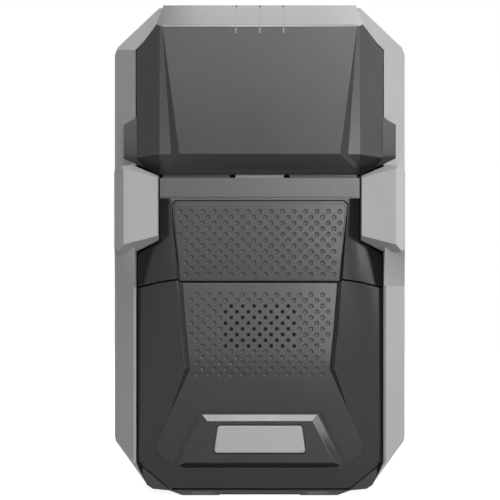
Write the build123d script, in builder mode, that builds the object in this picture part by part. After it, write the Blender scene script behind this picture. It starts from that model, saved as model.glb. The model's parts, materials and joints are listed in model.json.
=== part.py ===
"""Pocket label printer that stands upright: faceted front, hinged door with a push button, side rails.

Millimetres. Front is -Y, +X is right, +Z is up. The origin is on the ground under the middle of the body.
"""
from build123d import *
from math import cos, sin, radians, hypot, atan2, pi
import os

os.makedirs("parts", exist_ok=True)

# Overall sizes
HEIGHT = 152.2
BACK_Y = 23.2
WALL = 1.8
GAP = 0.55

# Front surfaces, as distances in front of the origin plane (so y = -value)
RIDGE = 16.0
FIELD = 14.4
FACET_MID = 14.2
FACET_OUT = 10.6
INNER_FRONT = 12.7

# Half widths of the front panels
RIDGE_X = 25.3
FACET_X = 31.0
PANEL_X = 37.8
RAIL_IN = 38.2
RAIL_OUT = 45.4
EAR_IN = 31.0
MID_X = 30.6

# Seam between the mid panel and the door: it falls as it goes back
SEAM_Z = 67.15
SEAM_SLOPE = 0.4685

# Door hinge axis, set so that the door's top edge leaves along the seam
HINGE_Y = -10.5
HINGE_Z = 79.0
PIN_R = 1.25
ARM_IN_R = 14.0
ARM_OUT_R = 16.6
ARM_X = 25.5
ARM_W = 2.8

# Hood
HOOD_TOP_X = 29.9
HOOD_EDGE_Z = 143.9
HOOD_EDGE_Y = -22.3
CREST_Y = -8.8
HOOD_SIDE_X = 37.9
HOOD_LOW_Z = 99.3
HOOD_BACK_Y = -6.0
WEDGE_LOW_Y = -23.2
HOOD_LOW_FRONT_Z = 105.2
HOOD_BASE_LOW_Y = -20.9
MARK_X = 7.24
MARK_W = 0.5
MARK_D = 0.25
MARK_LOW_Z = 141.4

# Ears on the rails
EAR_FRONT_Y = -19.5

# Rear housing
HOUSE_X = 41.4
HOUSE_FRONT_Y = -6.0
FLOOR_Z = 1.7

# Button and latch
BUTTON_LOW_Z = 14.0
BUTTON_HIGH_Z = 22.4
BUTTON_LOW_X = 14.1
BUTTON_HIGH_X = 12.9
BUTTON_GAP = 0.3
ISLAND_Y = -15.6
HOOK_TOP_Z = 20.0
STOP_Z = 26.5

# Label roll and printing mechanism
LABEL_W = 15.0
ROLL_R = 14.5
ROLL_Y = 3.6
ROLL_Z = 38.5
PLATEN_Y = -0.4
PLATEN_Z = 130.0
PLATEN_R = 4.1
SHAFT_R = 1.5
TAPE_Y = -4.8
TAPE_T = 0.16
GEAR_X = 15.4
GEAR_W = 2.4
MODULE = 0.5
PLATEN_TEETH = 22
IDLER_TEETH = 28
PINION_TEETH = 10
MOTOR_Y = 12.0
MOTOR_Z = 112.0

# Grille: staggered rows of round holes in the door
HOLE_R = 0.6
PITCH_X = 3.5
PITCH_Z = 1.75
GRILLE_TOP_Z = 59.0
GRILLE_ROWS = 8


def save(part, name):
    """Label a finished piece and write it as its own file."""
    part.label = name
    export_step(part, f"parts/{name}.step")


def facet(a, b, c, outward):
    """Plane through three points whose normal is on the side of the direction outward."""
    a, b, c = Vector(*a), Vector(*b), Vector(*c)
    normal = (b - a).cross(c - a)
    if normal.dot(Vector(*outward)) < 0:
        normal = normal * -1
    return Plane(origin=a, x_dir=b - a, z_dir=normal)


def mirrored(plane):
    """The same facet on the other side of the body."""
    o, n = plane.origin, plane.z_dir
    return Plane(origin=(-o.X, o.Y, o.Z), z_dir=(-n.X, n.Y, n.Z))


def pair(plane):
    return [plane, mirrored(plane)]


def both_sides(points):
    """Closed outline from its right half, which runs from the top middle to the bottom middle."""
    return points + [(-x, z) for x, z in reversed(points) if x > 0]


def prism(outline, front_y, back_y, facets):
    """Extruded front outline, cut by facets that are given with their outward sides."""
    with BuildPart() as form:
        with BuildSketch(Plane.XZ.offset(-front_y)):
            with BuildLine():
                Polyline(*outline, close=True)
            make_face()
        extrude(amount=-(back_y - front_y))
        for plane in facets:
            split(bisect_by=plane, keep=Keep.BOTTOM)
    return form.part


def block(low, high):
    """Plain block between two corners, for cutters and joined blocks."""
    size = [h - l for l, h in zip(low, high)]
    centre = [(h + l) / 2 for l, h in zip(low, high)]
    return Pos(*centre) * Box(*size)


def seam_plane(shift):
    """The sloping seam, moved up by shift. Its normal points up."""
    z = SEAM_Z + shift
    drop = SEAM_SLOPE * (RIDGE - FACET_OUT)
    return facet((0, -RIDGE, z), (10, -RIDGE, z), (0, -FACET_OUT, z - drop), (0, 0, 1))


# Facets that the mid panel and the door share. The inset moves them inwards for the hollow.
def side_facets(inset):
    facet_a = facet((RIDGE_X, -RIDGE, 66), (23.0, -RIDGE, 39.7), (FACET_X, -FACET_MID, 66), (1, -1, 0))
    facet_b = facet((FACET_X, -FACET_MID, 0), (FACET_X, -FACET_MID, 66), (PANEL_X, -FACET_OUT, 0), (1, -1, 0))
    return pair(facet_a.offset(-inset)) + pair(facet_b.offset(-inset))


# Door: lower front panel
DOOR_OUTLINE = both_sides([(0, 70), (PANEL_X, 70), (PANEL_X, 10.6), (28.1, 2.75), (0, 2.75)])
DOOR_BACK_Y = -8.4
CHAMFER_TOP_Z = 11.3
CHAMFER_LOW_Y = -12.2


def door_form(inset, front_y, back_y):
    chamfer = facet((0, -RIDGE, CHAMFER_TOP_Z), (10, -RIDGE, CHAMFER_TOP_Z), (0, CHAMFER_LOW_Y, 2.75), (0, 0, -1))
    corner = facet((26.6, -13.8, 8.6), (32.2, -13.56, 13.2), (PANEL_X, -FACET_OUT, 10.6), (1, -1, -1))
    facets = side_facets(inset) + [chamfer.offset(-inset)] + pair(corner.offset(-inset))
    facets.append(seam_plane(-GAP / 2 - inset))
    outline = DOOR_OUTLINE
    if inset:
        outline = both_sides([(0, 70), (PANEL_X - inset, 70), (PANEL_X - inset, 11.5), (28.1, 2.75 + inset),
                              (0, 2.75 + inset)])
    return prism(outline, front_y, back_y, facets)


FIELD_SIDE = [(23.9, 70.0), (22.6, 52.0), (21.4, 39.8), (25.7, 30.4), (30.1, 21.3), (31.9, 16.2), (31.5, 13.8),
              (26.8, 9.9)]
RIDGE_SIDE = [(25.4, 70.0), (24.1, 52.0), (22.9, 39.8), (27.2, 30.4), (31.6, 21.0), (33.4, 16.0), (33.0, 13.2),
              (27.6, 8.6)]


def closed_outline(side):
    return [(x, z) for x, z in side] + [(-x, z) for x, z in reversed(side)]


# The field is a loft from its floor outline to the wider outline at the ridge, so its walls slope
with BuildPart() as field_cutter:
    with BuildSketch(Plane.XZ.offset(FIELD)):
        with BuildLine():
            Polyline(*closed_outline(FIELD_SIDE), close=True)
        make_face()
    with BuildSketch(Plane.XZ.offset(RIDGE)):
        with BuildLine():
            Polyline(*closed_outline(RIDGE_SIDE), close=True)
        make_face()
    loft(ruled=True)
field_front = prism(closed_outline(RIDGE_SIDE), -RIDGE - 2, -RIDGE, [])

# Below the waist the field's floor falls back as it goes down
LOW_FIELD = 13.7
WAIST_Z = 39.8
low_floor = facet((0, -FIELD, WAIST_Z), (10, -FIELD, WAIST_Z), (0, -LOW_FIELD, 9.9), (0, 1, 0))
low_side = [(x, z) for x, z in FIELD_SIDE if z <= WAIST_Z]
low_field = prism(closed_outline(low_side), -FIELD - 0.2, -LOW_FIELD + 0.3, [low_floor])

# Raised boss around the button: wide at the foot, with sloping top and sides
with BuildPart() as island:
    with BuildSketch(Plane.XZ.offset(LOW_FIELD - 0.5)):
        with BuildLine():
            Polyline((-18.8, 26.7), (18.8, 26.7), (26.8, 8.9), (-26.8, 8.9), close=True)
        make_face()
    with BuildSketch(Plane.XZ.offset(-ISLAND_Y)):
        with BuildLine():
            Polyline((-16.1, 23.8), (16.1, 23.8), (22.8, 11.2), (-22.8, 11.2), close=True)
        make_face()
    loft(ruled=True)

# Grille rows run down the field, six and seven holes in turn
GRILLE_SPOTS = []
for row in range(GRILLE_ROWS):
    count = 6 if row % 2 == 0 else 7
    for i in range(count):
        GRILLE_SPOTS.append(((i - (count - 1) / 2) * PITCH_X, GRILLE_TOP_Z - row * PITCH_Z))

door_outside = door_form(0, -RIDGE, DOOR_BACK_Y)
door_inside = door_form(WALL, -INNER_FRONT, DOOR_BACK_Y + 3)
door_strip_slot = block((-9.2, -12.4, 60), (9.2, 0, 70))
with BuildPart() as front_door:
    add(door_outside)
    add(field_cutter.part, mode=Mode.SUBTRACT)
    add(field_front, mode=Mode.SUBTRACT)
    add(low_field, mode=Mode.SUBTRACT)
    add(island.part)
    add(door_inside, mode=Mode.SUBTRACT)
    add(door_strip_slot, mode=Mode.SUBTRACT)
    # Opening for the button, with rounded corners
    with BuildSketch(Plane.XZ.offset(RIDGE + 4)) as button_hole:
        with BuildLine():
            Polyline((-BUTTON_HIGH_X - BUTTON_GAP, BUTTON_HIGH_Z + BUTTON_GAP),
                     (BUTTON_HIGH_X + BUTTON_GAP, BUTTON_HIGH_Z + BUTTON_GAP),
                     (BUTTON_LOW_X + BUTTON_GAP, BUTTON_LOW_Z - BUTTON_GAP),
                     (-BUTTON_LOW_X - BUTTON_GAP, BUTTON_LOW_Z - BUTTON_GAP), close=True)
        make_face()
        fillet(button_hole.vertices(), 1.3)
    extrude(amount=-10, mode=Mode.SUBTRACT)
    # Grille
    with BuildSketch(Plane.XZ.offset(RIDGE)):
        with Locations(*GRILLE_SPOTS):
            RegularPolygon(HOLE_R + 0.03, 8)
    extrude(amount=-6, mode=Mode.SUBTRACT)
    # Gooseneck arms to the hinge
    for side in (-1, 1):
        start = ARM_X if side > 0 else -ARM_X - ARM_W
        with BuildSketch(Plane.YZ.offset(start)):
            with Locations((HINGE_Y, HINGE_Z)):
                Circle(ARM_OUT_R)
            with BuildLine():
                Polyline((HINGE_Y, HINGE_Z),
                         (HINGE_Y + 30 * sin(radians(-12)), HINGE_Z - 30 * cos(radians(-12))),
                         (HINGE_Y + 40, HINGE_Z - 30),
                         (HINGE_Y + 30 * sin(radians(108)), HINGE_Z - 30 * cos(radians(108))), close=True)
            make_face(mode=Mode.INTERSECT)
            with Locations((-10.4, 61.5)):
                Rectangle(6.0, 8.0)
            with Locations((HINGE_Y, HINGE_Z)):
                Circle(ARM_IN_R, mode=Mode.SUBTRACT)
            with Locations(Location((HINGE_Y, HINGE_Z), 10)):
                Rectangle(ARM_OUT_R - 0.6, 3.4, align=(Align.MIN, Align.CENTER))
            with Locations((HINGE_Y, HINGE_Z)):
                Circle(2.7)
                Circle(PIN_R + 0.05, mode=Mode.SUBTRACT)
        extrude(amount=ARM_W)
    # Ribs that guide the latch hook, grooved along Z
    for side in (-1, 1):
        with BuildSketch(Plane.XY.offset(6.5)):
            with Locations((side * 10.15, -9.5)):
                Rectangle(2.3, 6.6)
            with Locations((side * 9.5, -7.9)):
                Rectangle(1.2, 1.7, mode=Mode.SUBTRACT)
        extrude(amount=5.5)
    # Stop rib above the hook, which the return springs press against
    with BuildSketch(Plane.XY.offset(STOP_Z)):
        with Locations((0, -10.0)):
            Rectangle(10.0, 5.6)
    extrude(amount=1.4)
save(front_door.part, "front_door")

# Push button: cap, retaining flange and release wedge
with BuildPart() as open_button:
    with BuildSketch(Plane.XZ.offset(12.3)) as cap:
        with BuildLine():
            Polyline((-BUTTON_HIGH_X, BUTTON_HIGH_Z), (BUTTON_HIGH_X, BUTTON_HIGH_Z),
                     (BUTTON_LOW_X, BUTTON_LOW_Z), (-BUTTON_LOW_X, BUTTON_LOW_Z), close=True)
        make_face()
        fillet(cap.vertices(), 1.0)
    extrude(amount=3.55)
    cap_rim = open_button.faces().sort_by(Axis.Y)[0].edges()
    chamfer(cap_rim, 0.25)
    with BuildSketch(Plane.XZ.offset(11.5)):
        with Locations((0, (BUTTON_LOW_Z + BUTTON_HIGH_Z) / 2)):
            RectangleRounded(31.4, 10.8, 1.5)
    extrude(amount=0.95)
    with BuildSketch(Plane.YZ.offset(-3.6)):
        with BuildLine():
            Polyline((-11.6, 14.5), (-8.6, 14.5), (-11.6, 17.5), close=True)
        make_face()
    extrude(amount=7.2)
save(open_button.part, "open_button")

# Latch hook: sliding plate with a ramp over the button's wedge and a barbed tongue
with BuildPart() as latch_hook:
    with BuildSketch(Plane.XZ.offset(8.6)):
        with BuildLine():
            Polyline((-9.9, 7.0), (-6.0, 5.0), (6.0, 5.0), (9.9, 7.0), (9.9, 13.4), (5.5, HOOK_TOP_Z),
                     (-5.5, HOOK_TOP_Z), (-9.9, 13.4), close=True)
        make_face()
        with Locations((0, 13.1)):
            Rectangle(8.6, 3.0, mode=Mode.SUBTRACT)
    extrude(amount=-1.4)
    with BuildSketch(Plane.YZ.offset(-3.6)):
        with BuildLine():
            Polyline((-9.7, 15.8), (-8.3, 14.4), (-7.2, 14.4), (-7.2, HOOK_TOP_Z), (-9.7, HOOK_TOP_Z),
                     close=True)
        make_face()
    extrude(amount=7.2)
    with BuildSketch(Plane.YZ.offset(-6)):
        with BuildLine():
            Polyline((-8.6, 6.6), (-2.2, 6.6), (-2.2, 5.8), (-3.5, 4.4), (-3.5, 5.2), (-7.2, 5.2), (-8.6, 5.0),
                     close=True)
        make_face()
    extrude(amount=12)
save(latch_hook.part, "latch_hook")

# Two return springs between the hook and a stop rib on the door
SPRING_X = 2.3
SPRING_Y = -8.45
SPRING_R = 0.9
WIRE_R = 0.18
SPRING_TURNS = 4
COIL_SIDES = 10


def coil(radius, wire_r, turns, base, room):
    """Compression spring from the plane base along its normal, which fills the room between two seats."""
    height = room - 2 * wire_r - 0.1
    count = COIL_SIDES * turns
    points = []
    for i in range(count + 1):
        angle = 2 * pi * i / COIL_SIDES
        points.append((radius * cos(angle), radius * sin(angle), height * i / count))
    with BuildPart() as spring:
        with BuildLine():
            path = Polyline(*points)
        with BuildSketch(Plane(origin=path @ 0, z_dir=path % 0)):
            Rectangle(2 * wire_r, 2 * wire_r)
        sweep(path=path.wire(), transition=Transition.RIGHT)
    return base.offset(wire_r + 0.05).location * spring.part


def hook_seat(x):
    return Plane(origin=(x, SPRING_Y, HOOK_TOP_Z))


left_coil = coil(SPRING_R, WIRE_R, SPRING_TURNS, hook_seat(-SPRING_X), STOP_Z - HOOK_TOP_Z)
right_coil = coil(SPRING_R, WIRE_R, SPRING_TURNS, hook_seat(SPRING_X), STOP_Z - HOOK_TOP_Z)
with BuildPart() as latch_springs:
    add(left_coil)
    add(right_coil)
save(latch_springs.part, "latch_springs")

# Mid panel: fixed front panel between the ears, with the hinge lugs behind it
MID_TOP_Z = 98.3
MID_BACK_Y = -8.2
STRIP_LOW_Z = 92.0
MID_TILT_Z = 91.6
MID_TILT_Y = -14.9
MID_OUTLINE = both_sides([(0, STRIP_LOW_Z), (MID_X, STRIP_LOW_Z), (MID_X, 78.9), (37.2, 75.5), (PANEL_X, 74.9),
                          (PANEL_X, 60), (0, 60)])
STRIP_OUTLINE = [(-MID_X, MID_TOP_Z), (MID_X, MID_TOP_Z), (MID_X, STRIP_LOW_Z), (-MID_X, STRIP_LOW_Z)]


def mid_top(inset):
    return facet((0, -RIDGE, MID_TILT_Z), (10, -RIDGE, MID_TILT_Z), (0, MID_TILT_Y, MID_TOP_Z),
                 (0, -1, 1)).offset(-inset)


def mid_form(inset, front_y, back_y):
    ridge = facet((25.2, -RIDGE, 67), (27.2, -RIDGE, 90.6), (FACET_X, -FACET_MID, 67), (1, -1, 0))
    facet_b = facet((FACET_X, -FACET_MID, 0), (FACET_X, -FACET_MID, 66), (PANEL_X, -FACET_OUT, 0), (1, -1, 0))
    facets = [mid_top(inset)] + pair(ridge.offset(-inset)) + pair(facet_b.offset(-inset))
    seam = seam_plane(GAP / 2)
    facets.append(Plane(origin=seam.origin, x_dir=seam.x_dir, z_dir=seam.z_dir * -1))
    outline = MID_OUTLINE
    if inset:
        outline = both_sides([(0, MID_TOP_Z - inset), (MID_X - inset, MID_TOP_Z - inset),
                              (MID_X - inset, 77.0), (36.0, 73.5), (PANEL_X - inset, 60), (0, 60)])
    return prism(outline, front_y, back_y, facets)


MID_FIELD_TOP = 15.5
GROOVE_Z = 92.1
with BuildPart() as mid_field:
    with BuildSketch(Plane.XZ.offset(FIELD)):
        with BuildLine():
            Polyline(*closed_outline([(25.2, 90.6), (26.3, 89.6), (23.9, 62)]), close=True)
        make_face()
    with BuildSketch(Plane.XZ.offset(RIDGE + 0.1)):
        with BuildLine():
            Polyline(*closed_outline([(25.8, 91.5), (27.1, 90.3), (25.1, 62)]), close=True)
        make_face()
    loft(ruled=True)
    # The floor is shallow at the top and deep at the seam
    split(bisect_by=facet((0, -MID_FIELD_TOP, 91.4), (10, -MID_FIELD_TOP, 91.4), (0, -FIELD, 66.8), (0, 1, 0)),
          keep=Keep.BOTTOM)

mid_outside = mid_form(0, -RIDGE, MID_BACK_Y)
mid_strip = prism(STRIP_OUTLINE, -RIDGE, MID_BACK_Y, [mid_top(0)])
mid_inside = mid_form(WALL, -INNER_FRONT, MID_BACK_Y + 2)
strip_groove = block((-40, -RIDGE - 1, GROOVE_Z), (40, -RIDGE + 0.7, GROOVE_Z + 0.35))
arm_room = block((-33, -INNER_FRONT + 0.1, 60), (33, 0, 78))
boss_room = block((25.3, -13.7, 70), (28.5, 0, 84))
boss_room_left = mirror(boss_room, about=Plane.YZ)
top_rib = block((-30, -11.4, 97), (30, -10.4, HOOD_LOW_Z))
strip_slot = block((-9.2, -12.4, 94), (9.2, 0, 102))
with BuildPart() as mid_panel:
    add(mid_outside)
    add(mid_strip)
    add(mid_field.part, mode=Mode.SUBTRACT)
    add(strip_groove, mode=Mode.SUBTRACT)
    add(mid_inside, mode=Mode.SUBTRACT)
    add(arm_room, mode=Mode.SUBTRACT)
    add(top_rib)
    add(strip_slot, mode=Mode.SUBTRACT)
    add(boss_room, mode=Mode.SUBTRACT)
    add(boss_room_left, mode=Mode.SUBTRACT)
    # Hinge lugs on both sides of each arm
    for low, high in ((22.8, 25.3), (28.5, MID_X - 0.4)):
        for side in (-1, 1):
            start = low if side > 0 else -high
            with BuildSketch(Plane.YZ.offset(start)):
                with Locations((HINGE_Y - 1.8, HINGE_Z)):
                    Rectangle(3.6, 6.4)
                with Locations((HINGE_Y, HINGE_Z)):
                    Circle(3.2)
            extrude(amount=high - low)
    for start in (22.7, -30.2):
        with BuildSketch(Plane.YZ.offset(start)):
            with Locations((HINGE_Y, HINGE_Z)):
                Circle(PIN_R)
        extrude(amount=7.5, mode=Mode.SUBTRACT)
save(mid_panel.part, "mid_panel")

# Hinge pins, one on each side, pressed into the lugs
with BuildPart() as hinge_pins:
    for start in (22.9, -30.1):
        with BuildSketch(Plane.YZ.offset(start)):
            with Locations((HINGE_Y, HINGE_Z)):
                Circle(PIN_R)
        extrude(amount=7.2)
save(hinge_pins.part, "hinge_pins")

# Side rails with their ears
RAIL_OUTLINE = [(31.85, 144.6), (30.55, 151.9), (31.6, 151.9), (44.4, 139.7), (RAIL_OUT, 137.2),
                (RAIL_OUT, 18.0), (45.0, 16.2), (35.5, 3.0), (RAIL_IN, 10.6), (RAIL_IN, 137.7)]
RAIL_BACK_Y = 11.0
EAR_OUT = 44.6
EAR_OUTLINE = [(EAR_IN, 98.9), (39.6, 102.5), (42.7, 101.6), (EAR_OUT, 100.4), (EAR_OUT, 76.6), (42.7, 75.4),
               (37.8, 75.9), (EAR_IN, 79.2)]


def ear_form():
    top = facet((30.9, EAR_FRONT_Y, 98.1), (42.0, EAR_FRONT_Y, 101.1), (30.9, -17.0, 98.9), (0, 0, 1))
    low = facet((30.9, EAR_FRONT_Y, 80.6), (42.0, EAR_FRONT_Y, 77.7), (30.9, -17.0, 79.2), (0, 0, -1))
    side = facet((41.4, EAR_FRONT_Y, 78), (41.4, EAR_FRONT_Y, 98), (EAR_OUT, -15.2, 78), (1, -1, 0))
    return prism(EAR_OUTLINE, EAR_FRONT_Y, HOUSE_FRONT_Y, [top, low, side])


RAIL_FACETS = [
    facet((38.9, -12.5, 11), (38.9, -12.5, 137), (RAIL_OUT, -4.5, 11), (1, -1, 0)),
    facet((38.9, -12.5, 137.9), (44.6, -4.5, 139.7), (31.6, -4.5, 151.9), (1, -1, 1)),
    facet((38.9, -12.5, 11.0), (45.2, -4.5, 16.5), (35.5, -4.5, 3.0), (1, -1, -1)),
]
rail_form = prism(RAIL_OUTLINE, -13.5, RAIL_BACK_Y, RAIL_FACETS)
ear = ear_form()
# Fairing that carries the ear's underside back into the rail
with BuildPart() as ear_fairing:
    with BuildSketch(Plane.XY.offset(65.0)):
        with BuildLine():
            Polyline((RAIL_IN, -13.36), (RAIL_OUT, -4.5), (RAIL_OUT, -3.0), (RAIL_IN, -3.0), close=True)
        make_face()
    with BuildSketch(Plane.XY.offset(77.5)):
        with BuildLine():
            Polyline((RAIL_IN, -17.0), (EAR_OUT, -14.2), (EAR_OUT, -3.0), (RAIL_IN, -3.0), close=True)
        make_face()
    loft(ruled=True)
with BuildPart() as inner_bevel:
    with BuildSketch(Plane.XY.offset(10.0)):
        with BuildLine():
            Polyline((38.1, -11.8), (39.05, -12.65), (38.9, -13.8), (38.1, -13.8), close=True)
        make_face()
    extrude(amount=56)
wing_room = block((RAIL_IN - 0.1, -14, 102.45), (39.4, -12.1, 116.85))
with BuildPart() as rail:
    add(rail_form)
    add(inner_bevel.part, mode=Mode.SUBTRACT)
    add(ear_fairing.part)
    add(ear)
    add(wing_room, mode=Mode.SUBTRACT)
    # Room for the housing behind the front flange
    with BuildSketch(Plane.XZ.offset(-HOUSE_FRONT_Y)) as room:
        with BuildLine():
            Polyline((20, 151.4), (30.2, 151.4), (HOUSE_X, 140.0), (HOUSE_X, 17.6), (34.2, 2), (20, 2), close=True)
        make_face()
    extrude(amount=-30, mode=Mode.SUBTRACT)
save(rail.part, "right_rail")
with BuildPart() as left_rail:
    add(mirror(rail.part, about=Plane.YZ))
save(left_rail.part, "left_rail")

# Hood: faceted top cover with a raised wedge, hollow for the printing mechanism
HOOD_OUTLINE = both_sides([(0, HEIGHT), (HOOD_TOP_X, HEIGHT), (31.3, 144.4), (HOOD_SIDE_X, 137.3),
                           (HOOD_SIDE_X, 102.6), (MID_X, HOOD_LOW_Z), (0, HOOD_LOW_Z)])
WING_OUTLINE = [(36, 116.9), (HOOD_SIDE_X, 116.9), (41.9, 114.8), (41.9, 104.4), (MID_X, HOOD_LOW_Z),
                (29.5, HOOD_LOW_Z), (29.5, 101.2), (36, 104.0)]
WING_BACK_Y = -12.2


def hood_top(inset):
    return facet((0, HOOD_EDGE_Y, HOOD_EDGE_Z), (10, HOOD_EDGE_Y, HOOD_EDGE_Z), (0, CREST_Y, HEIGHT),
                 (0, -1, 1)).offset(-inset)


def hood_under(inset):
    return facet((0, WEDGE_LOW_Y, HOOD_LOW_FRONT_Z), (10, WEDGE_LOW_Y, HOOD_LOW_FRONT_Z),
                 (0, -16.6, HOOD_LOW_Z), (0, -1, -1)).offset(-inset)


def hood_low_base(inset):
    return facet((0, HOOD_BASE_LOW_Y, HOOD_LOW_FRONT_Z), (10, HOOD_BASE_LOW_Y, HOOD_LOW_FRONT_Z),
                 (0, -15.0, HOOD_LOW_Z), (0, -1, -1)).offset(-inset)


def hood_low_side(inset):
    return facet((30.4, HOOD_BASE_LOW_Y, HOOD_LOW_FRONT_Z), (HOOD_SIDE_X, -13.8, HOOD_LOW_FRONT_Z),
                 (MID_X, -15.0, HOOD_LOW_Z), (1, -1, -1)).offset(-inset)


def hood_form(inset):
    base = facet((0, HOOD_EDGE_Y, HOOD_EDGE_Z), (10, HOOD_EDGE_Y, HOOD_EDGE_Z),
                 (0, HOOD_BASE_LOW_Y, HOOD_LOW_FRONT_Z), (0, -1, 0))
    side = facet((30.2, HOOD_EDGE_Y, HOOD_EDGE_Z), (30.4, HOOD_BASE_LOW_Y, HOOD_LOW_FRONT_Z),
                 (HOOD_SIDE_X, -13.8, 125), (1, -1, 0))
    facets = [base.offset(-inset), hood_top(inset), hood_low_base(inset)] + pair(side.offset(-inset))
    facets += pair(hood_low_side(inset))
    if not inset:
        return prism(HOOD_OUTLINE, -24, HOOD_BACK_Y, facets)
    outline = both_sides([(0, HEIGHT - inset), (27.8, HEIGHT - inset), (29.2, 143.6), (35.8, 136.4),
                          (35.8, 104.0), (29.6, HOOD_LOW_Z + inset), (0, HOOD_LOW_Z + inset)])
    return prism(outline, -24, HOOD_BACK_Y + 2, facets)


def wedge_form():
    front = facet((0, HOOD_EDGE_Y, HOOD_EDGE_Z), (10, HOOD_EDGE_Y, HOOD_EDGE_Z),
                  (0, WEDGE_LOW_Y, HOOD_LOW_FRONT_Z), (0, -1, 0))
    side = facet((29.4, HOOD_EDGE_Y, HOOD_EDGE_Z), (24.2, WEDGE_LOW_Y, HOOD_LOW_FRONT_Z),
                 (26.8, HOOD_BASE_LOW_Y, HOOD_LOW_FRONT_Z), (1, -1, 0))
    outline = [(-30, HOOD_EDGE_Z + 2), (30, HOOD_EDGE_Z + 2), (30, HOOD_LOW_Z), (-30, HOOD_LOW_Z)]
    return prism(outline, -24, -18, [front, hood_top(0), hood_under(0)] + pair(side))


wing_front = facet((HOOD_SIDE_X, -13.58, 117), (41.9, -13.2, 117), (HOOD_SIDE_X, -13.2, 105), (0, -1, 0))
hood_outside = hood_form(0)
hood_wedge = wedge_form()
hood_inside = hood_form(WALL)
wing_low = facet((HOOD_SIDE_X, -13.2, HOOD_LOW_FRONT_Z), (41.9, -12.8, HOOD_LOW_FRONT_Z),
                 (HOOD_SIDE_X, -12.4, 101.8), (0, -1, -1))
wing = prism(WING_OUTLINE, -16, WING_BACK_Y, [wing_front, wing_low])
wing_left = mirror(wing, about=Plane.YZ)
# Three short marks run over the hood's front top edge, which show where the label comes out
with BuildPart() as edge_marks:
    for mark_x in (-MARK_X, 0, MARK_X):
        with BuildSketch(Plane.YZ.offset(mark_x - MARK_W / 2)):
            with BuildLine():
                Polyline((HOOD_EDGE_Y - 2, MARK_LOW_Z), (HOOD_EDGE_Y + MARK_D, MARK_LOW_Z),
                         (HOOD_EDGE_Y + MARK_D, HOOD_EDGE_Z - MARK_D), (CREST_Y, HEIGHT - MARK_D - 0.1),
                         (CREST_Y, HEIGHT + 2), (HOOD_EDGE_Y - 2, HEIGHT + 2), close=True)
            make_face()
        extrude(amount=MARK_W)
with BuildPart() as hood:
    add(hood_outside)
    add(hood_wedge)
    add(edge_marks.part, mode=Mode.SUBTRACT)
    add(hood_inside, mode=Mode.SUBTRACT)
    add(wing)
    add(wing_left)
    add(strip_slot, mode=Mode.SUBTRACT)
save(hood.part, "hood")

# Rear housing: open shell behind the front panels, with posts for the board and the printing frame
HOUSE_OUTLINE = both_sides([(0, 151.2), (30.1, 151.2), (HOUSE_X, 139.9), (HOUSE_X, 17.7), (33.4, FLOOR_Z),
                            (0, FLOOR_Z)])
HOUSE_WALL = 2.0
BORE_R = 1.12
HOUSE_BACK_IN = BACK_Y - HOUSE_WALL


def house_form(inset, front_y, back_y):
    top_back = facet((0, 12.0, 151.2), (10, 12.0, 151.2), (0, BACK_Y, 143.5), (0, 1, 1))
    side_back = facet((HOUSE_X, 17.0, 50), (HOUSE_X, 17.0, 90), (37.0, BACK_Y, 50), (1, 1, 0))
    low_back = facet((0, 17.0, FLOOR_Z), (10, 17.0, FLOOR_Z), (0, BACK_Y, 7.0), (0, 1, -1))
    facets = [top_back.offset(-inset), low_back.offset(-inset)] + pair(side_back.offset(-inset))
    if inset:
        outline = both_sides([(0, 151.2 - inset), (29.3, 151.2 - inset), (HOUSE_X - inset, 139.1),
                              (HOUSE_X - inset, 18.3), (32.6, FLOOR_Z + inset), (0, FLOOR_Z + inset)])
    else:
        outline = HOUSE_OUTLINE
    return prism(outline, front_y, back_y, facets)


BOARD_FRONT_Y = 16.4
BOARD_BACK_Y = 17.6
BOARD_SPOTS = [(x, z) for x in (-29, 29) for z in (69.5, 98.5)]
TAB_BACK_Y = 19.2
FRAME_SPOTS = [(x, z) for x in (-16.8, 16.8) for z in (107, 115)]
CASE_SPOTS = [(x, z) for x in (-31, 31) for z in (14, 138)]
SLOT_X = 9.2
USB_Y = 14.7
USB_Z = 84.0
POWER_Y = 14.2
POWER_Z = 97.0
LIGHT_Z = 105.5
house_outside = house_form(0, HOUSE_FRONT_Y, BACK_Y)
house_inside = house_form(HOUSE_WALL, HOUSE_FRONT_Y - 1, HOUSE_BACK_IN)
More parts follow.
